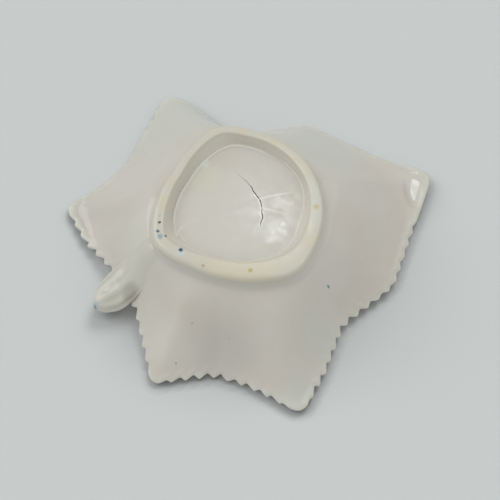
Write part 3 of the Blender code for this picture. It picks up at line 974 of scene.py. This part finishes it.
def foot_sections(bearing):
    """Sections through the foot at these bearings, as reach and height, in four stretches: the
    outer side from the crest, the outer slip up to the leaf, the inner side from the crest, and
    the inner slip down to the recess. Each is a cubic curve drawn by the corners given here."""
    foot = bpy.context.scene.pickle_dish_foot
    share = np.linspace(0.0, 1.0, 19)[:, None]
    side, crest, recess = (around(t, bearing) for t in (FOOT_SIDE, FOOT_CREST, FOOT_RECESS))
    bulge = (1.9 - 0.9 * toward(bearing, 25.0, 0.2, 0.95)) * MM
    brow = np.maximum(side - bulge, crest + 0.8 * MM)
    flank = 0.4 * foot.height
    end = side + foot.slip
    level = underside(bearing, end)
    slope = (level - underside(bearing, end - SLOPE_STEP)) / SLOPE_STEP
    outer = bezier(corner_points(
        (brow, 0.0), (side - 0.44 * bulge, 0.0), (side - 0.08 * MM, 0.25 * flank),
        (side + 0.05 * MM, flank),
    ), share)
    outer_slip = bezier(corner_points(
        (side + 0.05 * MM, flank), (side + 0.15 * MM, flank + 1.9 * MM),
        (end - 0.6 * MM, level - 0.6 * MM * slope),
        (end + 0.2 * MM, level + 0.2 * MM * slope + 0.1 * MM),
    ), share)
    parting, run = 0.42, crest - recess
    wall = corner_points(
        (crest + 0.5 * MM, 0.0), (crest - 0.25 * MM, 0.0),
        (recess + 0.6 * run, 0.42 * foot.recess), (recess + 0.1 * run, 0.92 * foot.recess),
    )
    inner = bezier(wall, parting * share)
    inner_wall = bezier(wall, parting + (1.0 - parting) * share)
    inner_foot = bezier(corner_points(
        (recess + 0.1 * run, 0.92 * foot.recess), (recess + 0.03 * run, 0.99 * foot.recess),
        (recess - 0.2 * MM, foot.recess), (recess - 0.6 * MM, foot.recess + 0.15 * MM),
    ), share)
    return outer, outer_slip, inner, np.concatenate([inner_wall, inner_foot[1:]])


def sunk(section, aside, first):
    """Section with one end sunk sideways under its neighbour, so the two faces cross smoothly."""
    ramp = np.clip(1.0 - np.arange(len(section)) / 11.0, 0.0, 1.0)
    moved = section.copy()
    moved[..., 0] += aside * (ramp if first else ramp[::-1])[:, None]
    return moved


def foot_ring(name, bearing, section):
    """Ring from a section that runs anticlockwise, carried round the foot."""
    return wrapped(name, polar(bearing, section[..., 0], section[..., 1]), closed=True)


def make_foot():
    """Rim that follows the foot's outline: its inner side down to the crest, its outer side up
    again, and a core up into the leaf."""
    foot = bpy.context.scene.pickle_dish_foot
    bearing = foot_bearings()
    outer, outer_slip, inner, inner_slip = foot_sections(bearing)
    outer = sunk(np.concatenate([outer, outer_slip[1:7]]), -SLIP_LAP, first=False)
    inner = sunk(np.concatenate([inner, inner_slip[1:7]]), SLIP_LAP, first=False)
    core = corner_points(
        (around(FOOT_SIDE, bearing) - 0.9 * MM, foot.height),
        (around(FOOT_CREST, bearing) + 0.4 * MM, foot.height),
    )
    section = np.concatenate([*core, inner[::-1], outer]).reshape(-1, bearing.size, 2)
    return foot_ring("foot", bearing, section)


def slip_glaze():
    """Glaze over the slip beside the foot rim: darker and greener outside it, where the glaze
    pools and shade is painted into the crease, and paler inside it, painted light on the recess
    wall.
    """
    glaze = Finish("slip_glaze")
    return glaze.surface(glaze.body(), bpy.context.scene.pickle_dish_foot.shine)


def make_slip_outer():
    """Slip that runs from the rim's outer side out to the leaf's wall in one hollow sweep."""
    bearing = foot_bearings()
    outer, outer_slip = foot_sections(bearing)[:2]
    sweep = sunk(np.concatenate([outer[-7:-1], outer_slip]), -SLIP_LAP, first=True)
    side = around(FOOT_SIDE, bearing) - 0.6 * MM
    low, high = SLIP_BACK
    back = corner_points(
        (sweep[-1:, :, 0], sweep[-1:, :, 1] + 0.6 * MM), (side, high), (side, low)
    )
    section = np.concatenate([sweep, *back])
    made = foot_ring("slip_outer", bearing, section)
    # Glaze pool outside the foot, also painted crease shade.
    keep_values(made, "pool", pooled_share(bearing, section[..., 0]))
    return made


def make_slip_inner():
    """Slip that runs from the rim's inner side down to the floor of the recess."""
    bearing = foot_bearings()
    _, _, inner, inner_slip = foot_sections(bearing)
    sweep = sunk(np.concatenate([inner[-7:-1], inner_slip]), SLIP_LAP, first=True)[::-1]
    crest = around(FOOT_CREST, bearing) + 0.3 * MM
    low, high = SLIP_BACK
    back = corner_points((crest, low), (crest, high), (sweep[:1, :, 0], high))
    made = foot_ring("slip_inner", bearing, np.concatenate([sweep, *back]))
    share = np.clip(np.arange(len(sweep) + len(back)) / (len(sweep) - 1), 0.0, 1.0)
    # Negative values: paler on the recess wall, painted light, weaker towards bearing 215.
    thick = 0.45 * toward(bearing, 215.0, 0.5, 0.9)
    keep_values(made, "pool", -np.sin(np.pi * share)[:, None] * (1.0 - thick))
    return made


def stalk_glaze():
    """Glaze on the stalk, with painted shade in its grooves, a painted shadow on its shaded side
    and painted highlights on its lit side, and blue at its tip.
    """
    stalk = bpy.context.scene.pickle_dish_stalk
    glaze = Finish("stalk_glaze")
    clouds = glaze.span(glaze.noise(120.0, 3.0), 0.35, 0.65)
    dull = [c * k for c, k in zip(stalk.glaze, (0.96, 0.97, 0.95))]
    colour = glaze.mix(clouds, dull, stalk.glaze)
    # Painted shade in the grooves.
    groove = glaze.span(glaze.attribute("groove"), 0.3, 1.0, 0.0, 0.4)
    colour = glaze.mix(groove, colour, stalk.grooves)
    # A painted shadow on the stalk's shaded flank by the leaf, and two painted highlights on its
    # lit side.
    colour = glaze.patches(colour, (
        ((-36.6, 7.1), 1.1, 2.5, (0.395, 0.385, 0.32)),
        ((-43.2, 2.3), 0.3, 1.7, (0.615, 0.605, 0.535)),
        ((-37.6, 0.1), 0.3, 1.9, (0.62, 0.62, 0.55)),
    ))
    trace = glaze.span(glaze.noise(300.0, 3.0), 0.35, 0.6, 0.15, 0.75)
    trace = glaze.times(trace, glaze.span(glaze.attribute("side"), 0.45, 0.95))
    colour = glaze.mix(trace, colour, stalk.trace)
    colour = glaze.spots(colour, (
        ((-48.3, 6.0), 1.7, (0.40, 0.49, 0.52)),
        ((-48.4, 6.2), 0.75, (0.015, 0.05, 0.12)),
    ), 0.8 * MM)
    return glaze.surface(colour, stalk.shine)


def make_stalk():
    """Ridge that grows out of the leaf's underside and becomes a fluted rod with a round end past
    the leaf's edge. Its lower face in section is low * (1 - (x / wide)^2)^(power / 2): a bell near
    the foot, a half round outwards."""
    stalk = bpy.context.scene.pickle_dish_stalk
    along = (1.0 - np.cos(np.linspace(0.0, np.pi, 90)[1:-1, None])) / 2.0
    turn = np.linspace(0.0, 2.0 * np.pi, 112, endpoint=False)[None, :]
    start = around(FOOT_REACH, stalk.bearing) - 3.0 * MM
    edge = around(EDGE_REACH, stalk.bearing)
    half = stalk.thickness / 2.0

    def line(share):
        """Reach of the rod's middle, the leaf's level there, and how far the middle lies in it."""
        reach = start + (edge + stalk.reach - 0.2 * MM - start) * share
        nearby = reach[..., None] + np.linspace(-0.5, 0.5, 17) * 9.0 * MM
        level = underside(stalk.bearing, np.minimum(nearby, edge)).mean(axis=-1)
        return reach, level, (0.15 - 0.45 * smooth(share, 0.1, 0.8)) * MM

    reach, level, inset = line(along)
    ends = (1.0 - np.abs(2.0 * along - 1.0) ** np.where(along > 0.5, 8.0, 16.0)) ** 0.5
    deep = smooth(along, 0.35, 0.65) * smooth(along, 1.0, 0.8)
    wave = 1.0 + np.cos(stalk.flutes * turn)
    flute = 1.0 - 2.0 * stalk.flute_depth / stalk.width * deep * wave
    grown = smooth(along, 0.1, 0.8)
    past = np.clip((reach - edge + 2.0 * MM) / (stalk.reach + 1.8 * MM), 0.0, 1.0)
    wide = stalk.width / 2.0 * (0.82 + 0.18 * smooth(reach, start, edge)) * (1 - past**2.6) ** 0.68
    bend = 0.9 * smooth(past, 0.75, 0.1) - 0.6 * smooth(past, 0.6, 1.0)
    aside = wide * flute * np.cos(turn) + bend * MM * smooth(along, 0.1, 0.4)
    bearing = stalk.bearing + np.degrees(aside / reach)
    local = underside(bearing, np.minimum(reach, edge))
    level = local + (level - local) * smooth(along, 0.3, 0.6)
    low = 1.0 * MM + (half - 0.7 * MM) * grown + inset
    high = 1.5 * MM + (half - 1.5 * MM) * smooth(reach, edge - 3.0 * MM, edge + 2.5 * MM)
    power = 3.5 - 2.5 * smooth(along, 0.25, 0.65)
    sine = np.sin(turn)
    rise = ends * flute * np.where(sine < 0.0, -low * np.abs(sine) ** power, high * sine)
    rings = polar(bearing, reach, level + inset + rise)
    caps = []
    for share in (1.0, 0.0):
        place, height, sunken = line(np.array([share]))
        slant = np.degrees(0.6 * MM * share / place)
        caps.append(polar(stalk.bearing - slant, place, height + sunken)[0])
    made = wrapped("stalk", rings[::-1], first_pole=caps[0], last_pole=caps[1])
    # Where the grooves get painted shade.
    keep_values(made, "groove", np.append((0.5 * deep * wave)[::-1], [0.0, 0.0]))
    side = smooth(along, 0.5, 0.8) * smooth(np.abs(turn - np.pi + 0.45), 0.75, 0.3)
    keep_values(made, "side", np.append(side[::-1], [0.5, 0.0]))
    return made


class PICKLE_DISH_OT_leaf(bpy.types.Operator):
    """Build the leaf"""

    bl_idname = "pickle_dish.leaf"
    bl_label = "Leaf"

    def execute(self, context):
        seat(make_leaf(), "leaf_body", leaf_glaze())
        return {"FINISHED"}


class PICKLE_DISH_OT_foot(bpy.types.Operator):
    """Build the foot rim"""

    bl_idname = "pickle_dish.foot"
    bl_label = "Foot rim"

    def execute(self, context):
        seat(make_foot(), "foot_rim", foot_glaze())
        return {"FINISHED"}


class PICKLE_DISH_OT_slip(bpy.types.Operator):
    """Build the slip on both sides of the foot rim"""

    bl_idname = "pickle_dish.slip"
    bl_label = "Slip fillets"

    def execute(self, context):
        glaze = slip_glaze()
        seat(make_slip_outer(), "foot_slip_outer", glaze)
        seat(make_slip_inner(), "foot_slip_inner", glaze)
        return {"FINISHED"}


class PICKLE_DISH_OT_stalk(bpy.types.Operator):
    """Build the stalk handle"""

    bl_idname = "pickle_dish.stalk"
    bl_label = "Stalk handle"

    def execute(self, context):
        seat(make_stalk(), "stalk_handle", stalk_glaze())
        return {"FINISHED"}


def pale_sheet(name, height, colour, downward, lean, glow):
    """Wide pale sheet that shows from one side only and lets all light pass. The glaze mirrors it
    only if it faces down. Ambient occlusion round a leaning normal gives it the dish's contact
    shadow, and a share of its colour glows."""
    corners = SHEET_REACH * np.array([[-1, -1], [1, -1], [1, 1], [-1, 1]])
    if downward:
        corners = corners[::-1]
    mesh = bpy.data.meshes.new(name)
    mesh.from_pydata([(*corner, height) for corner in corners], [], [(0, 1, 2, 3)])
    mesh.update()
    sheet = linked(name, mesh)
    paint = Finish(name)
    face = paint.add("ShaderNodeNewGeometry").outputs
    leaning = paint.vector("ADD", face["Normal"], lean).outputs[0]
    normal = paint.vector("NORMALIZE", leaning).outputs[0]
    levels = []
    for distance, low, high in ((3.8 * MM, 0.0, 1.0), (40.0 * MM, 0.15, 0.5)):
        shade = paint.add("ShaderNodeAmbientOcclusion", Distance=distance, Normal=normal)
        levels.append(paint.span(shade.outputs["AO"], low, high, low, 1.0, "LINEAR"))
    tint = paint.vector("SCALE", [0.5 * c for c in colour])
    close = paint.math("POWER", levels[0], 0.85)
    paint.feed(tint.inputs["Scale"], paint.times(close, levels[1]))
    for key, value in (
        ("Base Color", tint.outputs[0]), ("Emission Color", tint.outputs[0]),
        ("Emission Strength", glow), ("Roughness", 0.9), ("Specular IOR Level", 0.0),
    ):
        paint.feed(paint.shader.inputs[key], value)
    clear = paint.add("ShaderNodeBsdfTransparent")
    choose = paint.add("ShaderNodeMixShader", Fac=face["Backfacing"])
    paint.feed(choose.inputs[1], paint.shader.outputs[0])
    paint.feed(choose.inputs[2], clear.outputs[0])
    paint.feed(paint.nodes["Material Output"].inputs["Surface"], choose.outputs[0])
    mesh.materials.append(paint.material)
    for ray in ("diffuse", "transmission", "volume_scatter", "shadow"):
        setattr(sheet, "visible_" + ray, False)
    sheet.visible_glossy = downward
    return sheet


def soft_lamp(name, source, level, spread):
    """Broad distant lamp that shines from a direction; level is what it adds to a white face."""
    lamp = bpy.data.lights.new(name, "SUN")
    lamp.energy = level * np.pi
    lamp.angle = np.radians(spread)
    made = linked(name, lamp)
    back = np.array(source) / np.linalg.norm(source)
    side = np.cross([0.0, 1.0, 0.0], back)
    side = side / np.linalg.norm(side)
    turn = np.stack([side, np.cross(back, side), back], axis=1)
    made.matrix_world = Matrix(turn.tolist()).to_4x4()
    return made


def window_lamp(level):
    """Small lamp below the dish, which the glaze mirrors in the recess and on the edges."""
    width, length = 31.0 * MM, 38.0 * MM
    lamp = bpy.data.lights.new("window", "AREA")
    lamp.shape, lamp.size, lamp.size_y = "RECTANGLE", width, length
    lamp.energy = level * np.pi * width * length
    lamp.color = (0.88, 0.98, 1.0)
    made = linked("window", lamp)
    place = POLE + np.array([96.1, -187.5, -446.7]) * MM
    target = POLE + np.array([11.4, 6.6, 3.8]) * MM
    back = (place - target) / np.linalg.norm(place - target)
    up = np.cross(back, [0.93, 0.37, 0.0])
    up = up / np.linalg.norm(up)
    turn = np.stack([np.cross(up, back), up, back], axis=1)
    made.matrix_world = Matrix.LocRotScale(
        place.tolist(), Matrix(turn.tolist()).to_quaternion(), None
    )


def aim_camera(lens):
    """Camera below the dish, looking up at its foot."""
    camera = bpy.data.cameras.new("camera")
    camera.lens = lens
    camera.sensor_width = 36.0
    camera.clip_start, camera.clip_end = 0.01, 20.0
    made = linked("camera", camera)
    turn = Matrix(
        ((0.93110, 0.33323, -0.14836), (0.36476, -0.85061, 0.37872), (0.0, -0.40674, -0.91355))
    )
    place = POLE + np.array([-73.3628, 200.7424, -446.74]) * MM
    made.matrix_world = Matrix.LocRotScale(place.tolist(), turn.to_quaternion(), None)
    bpy.context.scene.camera = made


def pale_world(level, colour):
    """Even light from all round; the camera sees it as the colour of the floor."""
    world = bpy.data.worlds.new("pale_room")
    world.use_nodes = True
    nodes, links = world.node_tree.nodes, world.node_tree.links
    light = nodes["Background"]
    light.inputs["Color"].default_value = (1.0, 1.0, 1.0, 1.0)
    light.inputs["Strength"].default_value = level
    seen = nodes.new("ShaderNodeBackground")
    seen.inputs["Color"].default_value = (*colour, 1.0)
    choose = nodes.new("ShaderNodeMixShader")
    links.new(nodes.new("ShaderNodeLightPath").outputs["Is Camera Ray"], choose.inputs[0])
    links.new(light.outputs[0], choose.inputs[1])
    links.new(seen.outputs[0], choose.inputs[2])
    links.new(choose.outputs[0], nodes["World Output"].inputs["Surface"])
    bpy.context.scene.world = world


class PICKLE_DISH_OT_stage(bpy.types.Operator):
    """Set out the table, the floor, the light and the camera"""

    bl_idname = "pickle_dish.stage"
    bl_label = "Stage"

    def execute(self, context):
        stage = context.scene.pickle_dish_stage
        table = pale_sheet(
            "table", CAD_BOX[1].z - TABLE_INSET, stage.table,
            downward=True, lean=(-0.05, -1.1, 0.0), glow=0.23,
        )
        pale_sheet(
            "floor", CAD_BOX[0].z, stage.table, downward=False, lean=(0.0, 0.0, 0.0), glow=0.98
        )
        pale_world(stage.sky, stage.table)
        soft_lamp("lamp_below", (-0.47, -0.47, -0.74), stage.key, LAMP_SPREAD)
        soft_lamp("fill_below", (0.67, 0.0, -0.74), stage.fill, LAMP_SPREAD)
        soft_lamp("lamp_above", (-0.30, -0.40, 0.87), stage.key, LAMP_SPREAD)
        lit = bpy.data.collections.new("lit_by_table_lamps")
        lit.objects.link(table)
        for name, source, level, spread in TABLE_LAMPS:
            soft_lamp(name, source, level, spread).light_linking.receiver_collection = lit
        window_lamp(stage.window)
        aim_camera(stage.lens)
        context.scene.view_settings.view_transform = "Standard"
        return {"FINISHED"}


class PICKLE_DISH_PT_panel(bpy.types.Panel):
    """Sizes and colours of the dish, and the buttons that build it"""

    bl_idname = "PICKLE_DISH_PT_panel"
    bl_label = "Pickle dish"
    bl_space_type = "VIEW_3D"
    bl_region_type = "UI"
    bl_category = "Pickle dish"

    def draw(self, context):
        for operator, group in BUTTONS:
            box = self.layout.box()
            box.operator(operator)
            settings = getattr(context.scene, group)
            for name in settings.__annotations__:
                box.prop(settings, name)


BUTTONS = (
    ("pickle_dish.leaf", "pickle_dish_leaf"),
    ("pickle_dish.foot", "pickle_dish_foot"),
    ("pickle_dish.slip", "pickle_dish_foot"),
    ("pickle_dish.stalk", "pickle_dish_stalk"),
    ("pickle_dish.stage", "pickle_dish_stage"),
)
GROUPS = {
    "pickle_dish_leaf": PickleDishLeaf,
    "pickle_dish_foot": PickleDishFoot,
    "pickle_dish_stalk": PickleDishStalk,
    "pickle_dish_stage": PickleDishStage,
}
CLASSES = (
    *GROUPS.values(), PICKLE_DISH_OT_leaf, PICKLE_DISH_OT_foot, PICKLE_DISH_OT_slip,
    PICKLE_DISH_OT_stalk, PICKLE_DISH_OT_stage, PICKLE_DISH_PT_panel,
)


def register():
    """Register the classes and give the scene their settings."""
    for kind in CLASSES:
        bpy.utils.register_class(kind)
    for name, group in GROUPS.items():
        setattr(bpy.types.Scene, name, PointerProperty(type=group))


def unregister():
    """Take the settings from the scene and unregister the classes."""
    for name in GROUPS:
        delattr(bpy.types.Scene, name)
    for kind in reversed(CLASSES):
        bpy.utils.unregister_class(kind)


def main():
    """Build the dish and its stage."""
    register()
    bpy.ops.pickle_dish.leaf()
    bpy.ops.pickle_dish.foot()
    bpy.ops.pickle_dish.slip()
    bpy.ops.pickle_dish.stalk()
    bpy.ops.pickle_dish.stage()


if __name__ == "__main__":
    main()
